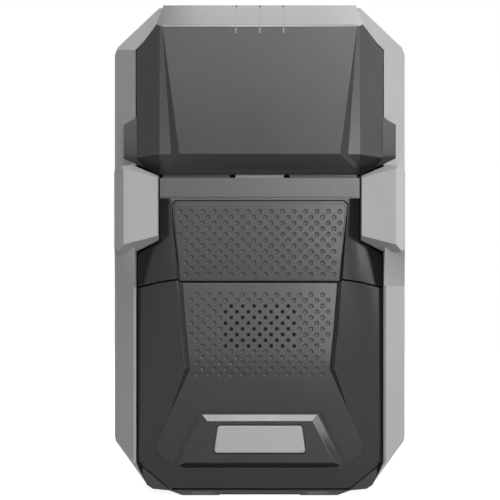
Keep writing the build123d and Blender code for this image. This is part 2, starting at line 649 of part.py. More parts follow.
# Corner pieces that close the space between the door's lower corners and the rails
CORNER_OUTLINE = [(37.95, 10.3), (35.3, 2.95), (33.4, FLOOR_Z), (27.4, FLOOR_Z), (28.2, 2.3)]
corner_front = facet((38.1, -10.4, 10.3), (28.2, -10.4, 2.3), (37.2, -7.6, 6.0), (1, -1, -1))
house_corner = prism(CORNER_OUTLINE, -10.6, HOUSE_FRONT_Y + 0.5, [corner_front])
house_corner_left = mirror(house_corner, about=Plane.YZ)
with BuildPart() as rear_housing:
    add(house_outside)
    add(house_inside, mode=Mode.SUBTRACT)
    add(house_corner)
    add(house_corner_left)
    with BuildSketch(Plane.XZ.offset(-BOARD_BACK_Y)):
        with Locations(*BOARD_SPOTS):
            RegularPolygon(2.6, 8)
            RegularPolygon(BORE_R, 12, mode=Mode.SUBTRACT)
    extrude(amount=-(HOUSE_BACK_IN + 0.5 - BOARD_BACK_Y))
    with BuildSketch(Plane.XZ.offset(-TAB_BACK_Y)):
        with Locations(*FRAME_SPOTS):
            RegularPolygon(2.4, 8)
            RegularPolygon(BORE_R, 12, mode=Mode.SUBTRACT)
    extrude(amount=-(HOUSE_BACK_IN + 0.5 - TAB_BACK_Y))
    # Counterbored screw holes in the back
    for radius, depth in ((2.8, 1.2), (1.5, 3.0)):
        with BuildSketch(Plane.XZ.offset(-BACK_Y)):
            with Locations(*CASE_SPOTS):
                RegularPolygon(radius, 16)
        extrude(amount=depth, mode=Mode.SUBTRACT)
    # Slot in the roof for the label
    with BuildSketch(Plane.XY.offset(148)):
        with Locations((0, HOUSE_FRONT_Y + 1.9)):
            Rectangle(2 * 12.2, 3.9)
    extrude(amount=5, mode=Mode.SUBTRACT)
    # Socket, button and light openings in the right wall
    with BuildSketch(Plane.YZ.offset(HOUSE_X - 4)):
        with Locations((USB_Y, USB_Z)):
            RectangleRounded(3.5, 9.4, 1.6)
        with Locations((POWER_Y, POWER_Z)):
            RectangleRounded(4.4, 9.4, 2.1)
        with Locations((POWER_Y, LIGHT_Z)):
            Circle(1.1)
    extrude(amount=6, mode=Mode.SUBTRACT)
save(rear_housing.part, "rear_housing")

# Fasteners of one kind share a node
def screws(spots, head_y, head_r, head_h, shank_r, length):
    """Screws along Y with their heads towards the front when length is positive."""
    way = 1 if length > 0 else -1
    with BuildPart() as group:
        with BuildSketch(Plane.XZ.offset(-head_y)):
            with Locations(*spots):
                RegularPolygon(head_r, 16)
        extrude(amount=way * head_h)
        with BuildSketch(Plane.XZ.offset(-head_y)):
            with Locations(*spots):
                RegularPolygon(shank_r, 8)
        extrude(amount=-length)
        with BuildSketch(Plane.XZ.offset(-head_y + way * head_h)):
            with Locations(*spots):
                RegularPolygon(head_r * 0.45, 6)
        extrude(amount=-way * head_h * 0.6, mode=Mode.SUBTRACT)
    return group.part


save(screws(BOARD_SPOTS, BOARD_FRONT_Y, 2.2, 1.2, 1.0, 4.0), "board_screws")
save(screws(FRAME_SPOTS, TAB_BACK_Y - 1.2, 2.1, 1.1, 1.0, 3.0), "frame_screws")
save(screws(CASE_SPOTS, BACK_Y - 1.2, 2.5, 1.0, 1.3, -3.0), "case_screws")

# Base foot under the housing, with two pads in its front edge
FOOT_FRONT_Y = -8.6
with BuildPart() as base_foot:
    with BuildSketch(Plane.XZ.offset(-FOOT_FRONT_Y)):
        with BuildLine():
            Polyline((-28.7, FLOOR_Z), (28.7, FLOOR_Z), (24.1, 0), (-24.1, 0), close=True)
        make_face()
    extrude(amount=-(17.0 - FOOT_FRONT_Y))
    with BuildSketch(Plane.XY):
        with Locations((0, FOOT_FRONT_Y)):
            Rectangle(25, 3)
        with Locations((0, 6)):
            Rectangle(40, 14)
    extrude(amount=0.6, mode=Mode.SUBTRACT)
    with BuildSketch(Plane.XZ.offset(-FOOT_FRONT_Y)):
        with Locations((-18, 0.75), (18, 0.75)):
            RectangleRounded(7.2, 1.0, 0.45)
    extrude(amount=-1.2, mode=Mode.SUBTRACT)
save(base_foot.part, "base_foot")
with BuildPart() as foot_pads:
    with BuildSketch(Plane.XZ.offset(-FOOT_FRONT_Y + 0.2)):
        with Locations((-18, 0.75), (18, 0.75)):
            RectangleRounded(7.2, 1.0, 0.45)
    extrude(amount=-1.4)
save(foot_pads.part, "foot_pads")

# Bay tray: front plate with a rounded well for the label roll
TRAY_FRONT_Y = -5.0
TRAY_T = 1.4
WELL_X = 9.8
WELL_R = 15.6
WELL_TOP_Z = 57.4
with BuildPart() as bay_tray:
    with BuildSketch(Plane.XZ.offset(-TRAY_FRONT_Y)):
        with BuildLine():
            Polyline((-39.1, 61.0), (39.1, 61.0), (39.1, 18.7), (32.3, 4.1), (-32.3, 4.1), (-39.1, 18.7), close=True)
        make_face()
    extrude(amount=-TRAY_T)
    with BuildSketch(Plane.YZ.offset(-WELL_X - TRAY_T)):
        with Locations((ROLL_Y, ROLL_Z)):
            Circle(WELL_R + TRAY_T)
        with Locations((TRAY_FRONT_Y, ROLL_Z)):
            Rectangle(ROLL_Y + WELL_R + TRAY_T - TRAY_FRONT_Y, WELL_TOP_Z + TRAY_T - ROLL_Z,
                      align=(Align.MIN, Align.MIN))
        with Locations((TRAY_FRONT_Y - 20, ROLL_Z)):
            Rectangle(40, 60, mode=Mode.SUBTRACT)
    extrude(amount=2 * (WELL_X + TRAY_T))
    with BuildSketch(Plane.YZ.offset(-WELL_X)):
        with Locations((ROLL_Y, ROLL_Z)):
            Circle(WELL_R)
        with Locations((TRAY_FRONT_Y - 1, ROLL_Z)):
            Rectangle(ROLL_Y + WELL_R - TRAY_FRONT_Y + 1, WELL_TOP_Z - ROLL_Z, align=(Align.MIN, Align.MIN))
    extrude(amount=2 * WELL_X, mode=Mode.SUBTRACT)
    # Hubs that hold the spindle
    for start in (-WELL_X - 0.5, WELL_X - 1.7):
        with BuildSketch(Plane.YZ.offset(start)):
            with Locations((ROLL_Y, ROLL_Z)):
                RegularPolygon(5.0, 12)
        extrude(amount=2.2)
    with BuildSketch(Plane.YZ.offset(-WELL_X - 1.0)):
        with Locations((ROLL_Y, ROLL_Z)):
            Circle(3.0)
    extrude(amount=2 * (WELL_X + 1.0), mode=Mode.SUBTRACT)
    # Slot that the latch tongue passes through
    with BuildSketch(Plane.XZ.offset(-TRAY_FRONT_Y + 1)):
        with Locations((0, 6.5)):
            Rectangle(13.4, 4.8)
    extrude(amount=-4, mode=Mode.SUBTRACT)
save(bay_tray.part, "bay_tray")

# Latch catch: steel strip across the foot of the tray slot
with BuildPart() as latch_catch:
    with BuildSketch(Plane.YZ.offset(-6.6)):
        with BuildLine():
            Polyline((-5.0, 3.75), (-4.1, 3.75), (-4.1, 3.95), (-5.0, 3.95), close=True)
        make_face()
    extrude(amount=13.2)
save(latch_catch.part, "latch_catch")

# Spindle, core and label roll
with BuildPart() as spool_spindle:
    with BuildSketch(Plane.YZ.offset(-WELL_X - 1.0)):
        with Locations((ROLL_Y, ROLL_Z)):
            Circle(3.0)
            Circle(1.6, mode=Mode.SUBTRACT)
    extrude(amount=2 * (WELL_X + 1.0))
save(spool_spindle.part, "spool_spindle")
CORE_R = 6.3
with BuildPart() as roll_core:
    with BuildSketch(Plane.YZ.offset(-LABEL_W / 2 - 0.3)):
        with Locations((ROLL_Y, ROLL_Z)):
            Circle(CORE_R)
            Circle(3.08, mode=Mode.SUBTRACT)
            with PolarLocations(4.7, 6):
                Rectangle(1.5, 1.8, mode=Mode.SUBTRACT)
    extrude(amount=LABEL_W + 0.6)
save(roll_core.part, "roll_core")
with BuildPart() as label_roll:
    with BuildSketch(Plane.YZ.offset(-LABEL_W / 2)):
        with Locations((ROLL_Y, ROLL_Z)):
            Circle(ROLL_R)
            Circle(CORE_R, mode=Mode.SUBTRACT)
    extrude(amount=LABEL_W)
save(label_roll.part, "label_roll")

# Label strip from the roll, over the guide bar, past the platen to the exit
STRIP_Y = ROLL_Y - ROLL_R - 0.2
GUIDE_Z = 106.5
GUIDE_R = 1.9
NIP_LOW_Z = 120.5
with BuildPart() as label_strip:
    with BuildSketch(Plane.YZ.offset(-LABEL_W / 2)):
        with BuildLine():
            Polyline((STRIP_Y, ROLL_Z), (STRIP_Y, GUIDE_Z), (TAPE_Y, NIP_LOW_Z), (TAPE_Y, 151.9),
                     (TAPE_Y - TAPE_T, 151.9), (TAPE_Y - TAPE_T, NIP_LOW_Z + 0.1), (STRIP_Y - TAPE_T, GUIDE_Z + 0.1),
                     (STRIP_Y - TAPE_T, ROLL_Z), close=True)
        make_face()
    extrude(amount=LABEL_W)
save(label_strip.part, "label_strip")

# Printing frame: two side plates, a back web, a front bar and mounting tabs
PLATE_X = 12.0
PLATE_T = 1.5
BUSH_R = 2.4
HEAD_PIN_Y = -8.8
HEAD_PIN_Z = 141.2
HEAD_PIN_R = 1.0
BAR_FRONT_Y = -16.4
BAR_BACK_Y = -15.2
PLATEN_GEAR_R = MODULE * PLATEN_TEETH / 2
IDLER_R = MODULE * IDLER_TEETH / 2
PINION_R = MODULE * PINION_TEETH / 2

# The idler sits where its distances to both neighbours are the sums of the pitch radii
span = hypot(MOTOR_Y - PLATEN_Y, MOTOR_Z - PLATEN_Z)
near = PLATEN_GEAR_R + IDLER_R
far = PINION_R + IDLER_R
along = (near ** 2 - far ** 2 + span ** 2) / (2 * span)
off = (near ** 2 - along ** 2) ** 0.5
uy, uz = (MOTOR_Y - PLATEN_Y) / span, (MOTOR_Z - PLATEN_Z) / span
IDLER_Y = PLATEN_Y + along * uy + off * uz
IDLER_Z = PLATEN_Z + along * uz - off * uy

with BuildPart() as print_frame:
    for start in (-PLATE_X - PLATE_T, PLATE_X):
        with BuildSketch(Plane.YZ.offset(start)):
            with BuildLine():
                Polyline((BAR_FRONT_Y, 124.0), (BAR_FRONT_Y, 131.5), (-12.0, 144.2), (6.2, 146.5), (TAB_BACK_Y, 122.0),
                         (TAB_BACK_Y, 103.5), (3.4, 103.5), (-3.6, 113.0), (-6.2, 103.2),
                         (-12.0, 103.2), (-12.0, 114.0), close=True)
            make_face()
            with Locations((PLATEN_Y, PLATEN_Z)):
                Circle(BUSH_R, mode=Mode.SUBTRACT)
            with Locations((HEAD_PIN_Y, HEAD_PIN_Z)):
                Circle(HEAD_PIN_R, mode=Mode.SUBTRACT)
            with Locations((STRIP_Y + GUIDE_R + 0.2, GUIDE_Z - 0.6)):
                RegularPolygon(GUIDE_R * 1.04, 12, mode=Mode.SUBTRACT)
            with Locations((MOTOR_Y, MOTOR_Z)):
                RegularPolygon(2.75, 12, mode=Mode.SUBTRACT)
            if start > 0:
                with Locations((IDLER_Y, IDLER_Z)):
                    Circle(1.25, mode=Mode.SUBTRACT)
        extrude(amount=PLATE_T)
    # Back web and front bar
    with BuildSketch(Plane.YZ.offset(-PLATE_X)):
        with Locations((5.6, 132.0)):
            Rectangle(1.2, 20.0)
        with Locations(((BAR_FRONT_Y + BAR_BACK_Y) / 2, 127.6)):
            Rectangle(BAR_BACK_Y - BAR_FRONT_Y, 6.0)
    extrude(amount=2 * PLATE_X)
    # Tabs with screw holes
    with BuildSketch(Plane.XZ.offset(-TAB_BACK_Y)):
        with Locations((-16.4, 111), (16.4, 111)):
            Rectangle(6.0, 14.0)
        with Locations(*FRAME_SPOTS):
            RegularPolygon(1.15, 8, mode=Mode.SUBTRACT)
    extrude(amount=1.2)
save(print_frame.part, "print_frame")


def gear_points(teeth, phase):
    """Straight-flanked gear outline. A tooth is centred on the angle phase."""
    tip_r = MODULE * (teeth + 1.7) / 2
    root_r = MODULE * (teeth - 2.4) / 2
    step = 2 * pi / teeth
    points = []
    for i in range(teeth):
        mid = phase + i * step
        for share, radius in ((-0.33, root_r), (-0.11, tip_r), (0.11, tip_r), (0.33, root_r)):
            points.append((radius * cos(mid + share * step), radius * sin(mid + share * step)))
    return points


def spur_gear(teeth, phase, y, z, start_x, width, bore_r, hub_r, hub_w):
    with BuildPart() as gear:
        with BuildSketch(Plane(origin=(start_x, y, z), x_dir=(0, 1, 0), z_dir=(1, 0, 0))):
            with BuildLine():
                Polyline(*gear_points(teeth, phase), close=True)
            make_face()
            Circle(bore_r, mode=Mode.SUBTRACT)
        extrude(amount=width)
        if hub_w:
            with BuildSketch(Plane(origin=(start_x + width, y, z), x_dir=(0, 1, 0), z_dir=(1, 0, 0))):
                Circle(hub_r)
                Circle(bore_r, mode=Mode.SUBTRACT)
            extrude(amount=hub_w)
    return gear.part


# Gear phases: each gear has a gap where its neighbour has a tooth
to_idler = atan2(IDLER_Z - PLATEN_Z, IDLER_Y - PLATEN_Y)
to_pinion = atan2(MOTOR_Z - IDLER_Z, MOTOR_Y - IDLER_Y)
idler_phase = to_idler + pi + pi / IDLER_TEETH
idler_step = 2 * pi / IDLER_TEETH
idler_lead = (idler_phase - to_pinion) % idler_step
pinion_phase = to_pinion + pi + pi / PINION_TEETH - idler_lead * IDLER_TEETH / PINION_TEETH
platen_gear = spur_gear(PLATEN_TEETH, to_idler, PLATEN_Y, PLATEN_Z, GEAR_X, GEAR_W, SHAFT_R, 3.0, 0.8)
save(platen_gear, "platen_gear")
idler_gear = spur_gear(IDLER_TEETH, idler_phase, IDLER_Y, IDLER_Z, GEAR_X, GEAR_W, 1.33, 2.6, 0.5)
save(idler_gear, "idler_gear")
motor_pinion = spur_gear(PINION_TEETH, pinion_phase, MOTOR_Y, MOTOR_Z, GEAR_X - 0.4, GEAR_W + 0.8, 0.75, 1, 0)
save(motor_pinion, "motor_pinion")

with BuildPart() as idler_pin:
    with BuildSketch(Plane.YZ.offset(PLATE_X)):
        with Locations((IDLER_Y, IDLER_Z)):
            Circle(1.25)
    extrude(amount=7.2)
    with BuildSketch(Plane.YZ.offset(GEAR_X + GEAR_W + 0.7)):
        with Locations((IDLER_Y, IDLER_Z)):
            RegularPolygon(2.0, 6)
    extrude(amount=0.6)
save(idler_pin.part, "idler_pin")

# Platen: shaft, rubber roller and the bushes that carry it
with BuildPart() as platen_shaft:
    with BuildSketch(Plane.YZ.offset(-15.4)):
        with Locations((PLATEN_Y, PLATEN_Z)):
            Circle(SHAFT_R)
    extrude(amount=34.6)
save(platen_shaft.part, "platen_shaft")
with BuildPart() as platen_rubber:
    with BuildSketch(Plane.YZ.offset(-9.4)):
        with Locations((PLATEN_Y, PLATEN_Z)):
            Circle(PLATEN_R)
            Circle(SHAFT_R, mode=Mode.SUBTRACT)
    extrude(amount=18.8)
save(platen_rubber.part, "platen_rubber")
with BuildPart() as platen_bushes:
    for start in (-14.3, PLATE_X - 0.8):
        with BuildSketch(Plane.YZ.offset(start)):
            with Locations((PLATEN_Y, PLATEN_Z)):
                Circle(BUSH_R)
                Circle(SHAFT_R + 0.05, mode=Mode.SUBTRACT)
        extrude(amount=3.1)
    for start in (-14.3, PLATE_X + PLATE_T):
        with BuildSketch(Plane.YZ.offset(start)):
            with Locations((PLATEN_Y, PLATEN_Z)):
                RegularPolygon(3.3, 8)
                Circle(SHAFT_R + 0.05, mode=Mode.SUBTRACT)
        extrude(amount=0.8)
save(platen_bushes.part, "platen_bushes")

# Stepper motor with its mounting lugs
MOTOR_R = 7.5
MOTOR_LEN = 10.6
with BuildPart() as stepper_motor:
    with BuildSketch(Plane.YZ.offset(PLATE_X - MOTOR_LEN)):
        with Locations((MOTOR_Y, MOTOR_Z)):
            Circle(MOTOR_R - 0.4)
    extrude(amount=MOTOR_LEN)
    with BuildSketch(Plane.YZ.offset(PLATE_X - 1.0)):
        with Locations((MOTOR_Y, MOTOR_Z)):
            SlotOverall(16.4, 5.0, rotation=60)
    extrude(amount=1.0)
    with BuildSketch(Plane.YZ.offset(PLATE_X)):
        with Locations((MOTOR_Y, MOTOR_Z)):
            Circle(2.5)
    extrude(amount=PLATE_T)
save(stepper_motor.part, "stepper_motor")
with BuildPart() as motor_shaft:
    with BuildSketch(Plane.YZ.offset(PLATE_X + PLATE_T + 0.1)):
        with Locations((MOTOR_Y, MOTOR_Z)):
            Circle(0.75)
    extrude(amount=5.2)
save(motor_shaft.part, "motor_shaft")

# Thermal head on its pivoting heat sink
with BuildPart() as head_bracket:
    with BuildSketch(Plane.YZ.offset(-9.6)):
        with BuildLine():
            Polyline((-6.0, 122.0), (-6.0, 138.6), (-7.0, 141.6), (-10.6, 141.6), (-10.6, 122.0), close=True)
        make_face()
        with Locations((HEAD_PIN_Y, HEAD_PIN_Z)):
            Circle(2.2)
            Circle(HEAD_PIN_R + 0.06, mode=Mode.SUBTRACT)
        # Cooling fins
        for z in (123.6, 133.6, 136.2):
            with Locations((-10.1, z)):
                Rectangle(2.0, 1.2, mode=Mode.SUBTRACT)
    extrude(amount=19.2)
save(head_bracket.part, "head_bracket")
with BuildPart() as thermal_head:
    with BuildSketch(Plane.YZ.offset(-9.0)):
        with BuildLine():
            Polyline((-6.0, 124.0), (-5.5, 124.0), (-5.5, 129.3), (-5.25, 129.7), (-5.25, 130.3), (-5.5, 130.7),
                     (-5.5, 137.5), (-6.0, 137.5), close=True)
        make_face()
    extrude(amount=18.0)
save(thermal_head.part, "thermal_head")
with BuildPart() as head_pin:
    with BuildSketch(Plane.YZ.offset(-PLATE_X - PLATE_T - 0.6)):
        with Locations((HEAD_PIN_Y, HEAD_PIN_Z)):
            Circle(HEAD_PIN_R)
    extrude(amount=2 * (PLATE_X + PLATE_T + 0.6))
save(head_pin.part, "head_pin")
HEAD_SPRING_Z = 127.0
BRACKET_FRONT_Y = -10.6


def bar_seat(x):
    return Plane(origin=(x, BAR_BACK_Y, HEAD_SPRING_Z), x_dir=(1, 0, 0), z_dir=(0, 1, 0))


HEAD_COIL_R = 1.5
HEAD_WIRE_R = 0.2
HEAD_TURNS = 4
HEAD_ROOM = BRACKET_FRONT_Y - BAR_BACK_Y
left_head_coil = coil(HEAD_COIL_R, HEAD_WIRE_R, HEAD_TURNS, bar_seat(-6), HEAD_ROOM)
right_head_coil = coil(HEAD_COIL_R, HEAD_WIRE_R, HEAD_TURNS, bar_seat(6), HEAD_ROOM)
with BuildPart() as head_springs:
    add(left_head_coil)
    add(right_head_coil)
save(head_springs.part, "head_springs")
with BuildPart() as guide_bar:
    with BuildSketch(Plane.YZ.offset(-PLATE_X - PLATE_T)):
        with Locations((STRIP_Y + GUIDE_R + 0.2, GUIDE_Z - 0.6)):
            Circle(GUIDE_R)
    extrude(amount=2 * (PLATE_X + PLATE_T))
save(guide_bar.part, "guide_bar")

# Exit bezel and serrated tear blade in the roof slot
with BuildPart() as exit_bezel:
    with BuildSketch(Plane.XY.offset(147.6)):
        with Locations((0, HOUSE_FRONT_Y + 1.9)):
            RectangleRounded(24.2, 3.7, 0.6)
        with Locations((0, TAPE_Y + 0.02)):
            Rectangle(2 * SLOT_X, 1.56, mode=Mode.SUBTRACT)
    extrude(amount=4.0)
save(exit_bezel.part, "exit_bezel")
TEETH = 15
tooth = 2 * 8.7 / TEETH
serration = [(-8.7 + (i + side) * tooth, 152.0 if side else 151.6) for i in range(TEETH) for side in (0, 0.5)]
with BuildPart() as tear_blade:
    with BuildSketch(Plane.XZ.offset(4.25)):
        with BuildLine():
            Polyline(*serration, (8.7, 151.6), (8.7, 148.0), (-8.7, 148.0), close=True)
        make_face()
    extrude(amount=-0.25)
save(tear_blade.part, "tear_blade")

# Main board with its larger parts, socket, sounder and power switch
with BuildPart() as main_board:
    with BuildSketch(Plane.XZ.offset(-BOARD_FRONT_Y)):
        with Locations((0, 84)):
            Rectangle(66, 36)
        with Locations(*BOARD_SPOTS):
            RegularPolygon(1.15, 8, mode=Mode.SUBTRACT)
    extrude(amount=-(BOARD_BACK_Y - BOARD_FRONT_Y))
    for x, z, w, h, t in ((-12, 88, 10, 10, 1.4), (4, 92, 7, 7, 1.1), (-20, 74, 6, 9, 2.0), (2, 75, 14, 6, 2.6),
                          (-2, 100, 16, 3, 2.4)):
        with BuildSketch(Plane.XZ.offset(-BOARD_FRONT_Y)):
            with Locations((x, z)):
                Rectangle(w, h)
        extrude(amount=t)
save(main_board.part, "main_board")
with BuildPart() as usb_socket:
    with BuildSketch(Plane.YZ.offset(32.4)):
        with Locations((USB_Y, USB_Z)):
            RectangleRounded(3.2, 9.0, 1.5)
    extrude(amount=8.6)
    with BuildSketch(Plane.YZ.offset(34.4)):
        with Locations((USB_Y, USB_Z)):
            RectangleRounded(2.6, 8.4, 1.25)
            Rectangle(0.7, 6.7, mode=Mode.SUBTRACT)
    extrude(amount=7, mode=Mode.SUBTRACT)
save(usb_socket.part, "usb_socket")
with BuildPart() as buzzer:
    with BuildSketch(Plane.XZ.offset(-BOARD_FRONT_Y)):
        with Locations((20, 76)):
            Circle(4.6)
    extrude(amount=4.0)
    with BuildSketch(Plane.XZ.offset(-BOARD_FRONT_Y + 4.0)):
        with Locations((20, 76)):
            Circle(0.9)
    extrude(amount=-1.5, mode=Mode.SUBTRACT)
save(buzzer.part, "buzzer")
with BuildPart() as power_switch:
    with BuildSketch(Plane.XZ.offset(-BOARD_FRONT_Y)):
        with Locations((29.8, 94.0)):
            Rectangle(5.0, 4.6)
    extrude(amount=4.4)
    with BuildSketch(Plane.YZ.offset(32.3)):
        with Locations((POWER_Y, 94.6)):
            Circle(1.2)
    extrude(amount=0.8)
save(power_switch.part, "power_switch")
with BuildPart() as power_button:
    with BuildSketch(Plane.YZ.offset(34.0)):
        with Locations((POWER_Y, 95.6)):
            Rectangle(2.4, 5.0)
    extrude(amount=3.6)
    with BuildSketch(Plane.YZ.offset(37.2)):
        with Locations((POWER_Y, POWER_Z)):
            RectangleRounded(5.6, 10.8, 2.4)
    extrude(amount=1.3)
    with BuildSketch(Plane.YZ.offset(38.3)):
        with Locations((POWER_Y, POWER_Z)):
            RectangleRounded(3.9, 8.9, 1.9)
    extrude(amount=3.7)
save(power_button.part, "power_button")
with BuildPart() as light_pipe:
    with BuildSketch(Plane.YZ.offset(36.5)):
        with Locations((POWER_Y, LIGHT_Z)):
            Circle(1.05)
    extrude(amount=5.0)
save(light_pipe.part, "light_pipe")
with BuildPart() as battery_pack:
    with Locations((-23.8, 16.1, 39.5), (23.8, 16.1, 39.5)):
        Box(22.5, 10.2, 44)
    chamfer(battery_pack.edges().filter_by(Axis.Z), 2.2)
save(battery_pack.part, "battery_pack")

# Thin pieces behind the door
with BuildPart() as grille_mesh:
    with BuildSketch(Plane.XZ.offset(INNER_FRONT)):
        with Locations((0, GRILLE_TOP_Z - 6.1)):
            Rectangle(28, 18)
    extrude(amount=-0.4)
save(grille_mesh.part, "grille_mesh")
with BuildPart() as radio_tag:
    with BuildSketch(Plane.XZ.offset(INNER_FRONT)):
        with Locations((0, 36.0)):
            Rectangle(24, 14)
    extrude(amount=-0.3)
save(radio_tag.part, "radio_tag")
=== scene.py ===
"""Looks for the pocket label printer: finishes, moulded dimples, label windings, camera and light."""
import json
import math
import bpy
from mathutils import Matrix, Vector
from mathutils.geometry import delaunay_2d_cdt


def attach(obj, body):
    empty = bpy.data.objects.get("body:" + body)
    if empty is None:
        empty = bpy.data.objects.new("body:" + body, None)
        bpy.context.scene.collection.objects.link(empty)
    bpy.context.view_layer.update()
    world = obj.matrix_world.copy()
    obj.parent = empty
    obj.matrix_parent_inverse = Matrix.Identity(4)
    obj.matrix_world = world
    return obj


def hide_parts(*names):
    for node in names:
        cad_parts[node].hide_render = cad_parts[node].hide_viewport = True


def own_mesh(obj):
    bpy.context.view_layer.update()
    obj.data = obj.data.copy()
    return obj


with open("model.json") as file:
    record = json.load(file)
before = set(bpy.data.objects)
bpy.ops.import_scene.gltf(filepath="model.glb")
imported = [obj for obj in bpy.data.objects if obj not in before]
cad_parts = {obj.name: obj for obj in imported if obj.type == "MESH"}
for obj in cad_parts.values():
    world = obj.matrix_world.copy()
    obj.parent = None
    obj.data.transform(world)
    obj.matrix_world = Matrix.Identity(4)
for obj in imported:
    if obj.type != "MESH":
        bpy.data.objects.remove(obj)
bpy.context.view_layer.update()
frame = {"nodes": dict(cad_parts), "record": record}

MM = 0.001


# Node helpers

class Graph:
    """A small wrapper that makes material nodes and joins them."""

    def __init__(self, name):
        self.material = bpy.data.materials.new(name)
        self.material.use_nodes = True
        self.tree = self.material.node_tree
        self.tree.nodes.clear()
        self.out = self.tree.nodes.new("ShaderNodeOutputMaterial")
        self.shader = self.tree.nodes.new("ShaderNodeBsdfPrincipled")
        self.join(self.shader.outputs["BSDF"], self.out.inputs["Surface"])
        self.coords = self.tree.nodes.new("ShaderNodeTexCoord").outputs["Object"]

    def join(self, source, target):
        self.tree.links.new(source, target)

    def set(self, **values):
        for name, value in values.items():
            self.shader.inputs[name.replace("_", " ")].default_value = value

    def noise(self, scale, detail=4.0, rough=0.55, stretch=None):
        node = self.tree.nodes.new("ShaderNodeTexNoise")
        node.inputs["Scale"].default_value = scale
        node.inputs["Detail"].default_value = detail
        node.inputs["Roughness"].default_value = rough
        source = self.coords
        if stretch:
            mapping = self.tree.nodes.new("ShaderNodeMapping")
            mapping.inputs["Scale"].default_value = stretch
            self.join(self.coords, mapping.inputs["Vector"])
            source = mapping.outputs["Vector"]
        self.join(source, node.inputs["Vector"])
        return node.outputs["Fac"]

    def ramp(self, source, stops):
        node = self.tree.nodes.new("ShaderNodeValToRGB")
        ramp = node.color_ramp
        while len(ramp.elements) < len(stops):
            ramp.elements.new(0.5)
        for element, (place, colour) in zip(ramp.elements, stops):
            element.position = place
            if not hasattr(colour, "__len__"):
                colour = (colour,) * 3
            element.color = (*colour, 1)
        self.join(source, node.inputs["Fac"])
        return node.outputs["Color"]

    def mix(self, share, low, high):
        node = self.tree.nodes.new("ShaderNodeMix")
        node.data_type = "RGBA"
        self.feed(share, node.inputs["Factor"])
        self.feed(low, node.inputs["A"])
        self.feed(high, node.inputs["B"])
        return node.outputs["Result"]

    def feed(self, value, socket):
        if isinstance(value, bpy.types.NodeSocket):
            self.join(value, socket)
        elif hasattr(value, "__len__"):
            socket.default_value = (*value, 1)
        else:
            socket.default_value = value

    def edges(self):
        """Painted highlight on sharp outer edges, from the mesh's own pointiness."""
        geometry = self.tree.nodes.new("ShaderNodeNewGeometry")
        return self.ramp(geometry.outputs["Pointiness"], [(0.52, 0.0), (0.60, 1.0)])

    def bump(self, height, strength, distance):
        node = self.tree.nodes.new("ShaderNodeBump")
        node.inputs["Strength"].default_value = strength
        node.inputs["Distance"].default_value = distance
        self.join(height, node.inputs["Height"])
        self.join(node.outputs["Normal"], self.shader.inputs["Normal"])


def plastic(name, colour, rough=0.5, depth=0.4, specular=0.5, tint=0.06, dusty=0.05):
    """Moulded plastic: fine eroded grain, faint flow shades, handled patches and a painted highlight that
    makes sharp outer edges slightly lighter.
    """
    g = Graph(name)
    dark = [c * (1 - tint) for c in colour]
    light = [c * (1 + tint) for c in colour]
    flow = g.ramp(g.noise(38, 3), [(0.3, dark), (0.7, light)])
    # Sharp outer edges are painted lighter: a painted highlight, not wear
    edge_highlight_colour = [min(1, c * 1.35 + 0.01) for c in colour]
    edge = g.mix(0.15, flow, edge_highlight_colour)
    shade = g.mix(g.edges(), flow, edge)
    dust = g.ramp(g.noise(900, 6, 0.7), [(0.60, 0.0), (0.74, dusty)])
    g.join(g.mix(dust, shade, [min(1, c + 0.2) for c in colour]), g.shader.inputs["Base Color"])
    handled = g.ramp(g.noise(60, 5, 0.6), [(0.3, rough - 0.03), (0.7, rough + 0.03)])
    g.join(handled, g.shader.inputs["Roughness"])
    g.bump(g.noise(2600, 2, 0.5), depth, 0.00003)
    g.set(Specular_IOR_Level=specular)
    return g.material


def metal(name, colour, rough=0.3, brush=(1, 1, 1)):
    """Metal with a brushed or turned grain and smudges."""
    g = Graph(name)
    smudge = g.ramp(g.noise(120, 5), [(0.35, [c * 0.78 for c in colour]), (0.65, colour)])
    g.join(smudge, g.shader.inputs["Base Color"])
    brushed = g.ramp(g.noise(1500, 4, 0.6, brush), [(0.3, rough - 0.08), (0.7, rough + 0.12)])
    g.join(brushed, g.shader.inputs["Roughness"])
    g.bump(g.noise(1500, 3, 0.6, brush), 0.35, 0.00002)
    g.set(Metallic=1.0)
    return g.material


def rubber(name, colour, rough=0.8, specular=0.3):
    """Rubber with a matt, slightly uneven skin."""
    g = Graph(name)
    shade = g.ramp(g.noise(300, 6), [(0.3, [c * 0.8 for c in colour]), (0.7, [c * 1.3 for c in colour])])
    g.join(shade, g.shader.inputs["Base Color"])
    matt = g.ramp(g.noise(700, 4), [(0.3, rough - 0.08), (0.7, rough + 0.1)])
    g.join(matt, g.shader.inputs["Roughness"])
    g.bump(g.noise(4000, 3), 0.4, 0.00003)
    g.set(Specular_IOR_Level=specular)
    return g.material


def paper(name, colour):
    """Coated label stock with fine fibres."""
    g = Graph(name)
    fibre = g.ramp(g.noise(900, 6, 0.7), [(0.3, [c * 0.93 for c in colour]), (0.7, colour)])
    g.join(fibre, g.shader.inputs["Base Color"])
    g.join(g.ramp(g.noise(500, 4), [(0.3, 0.5), (0.7, 0.65)]), g.shader.inputs["Roughness"])
    g.bump(g.noise(3000, 4), 0.25, 0.00003)
    return g.material


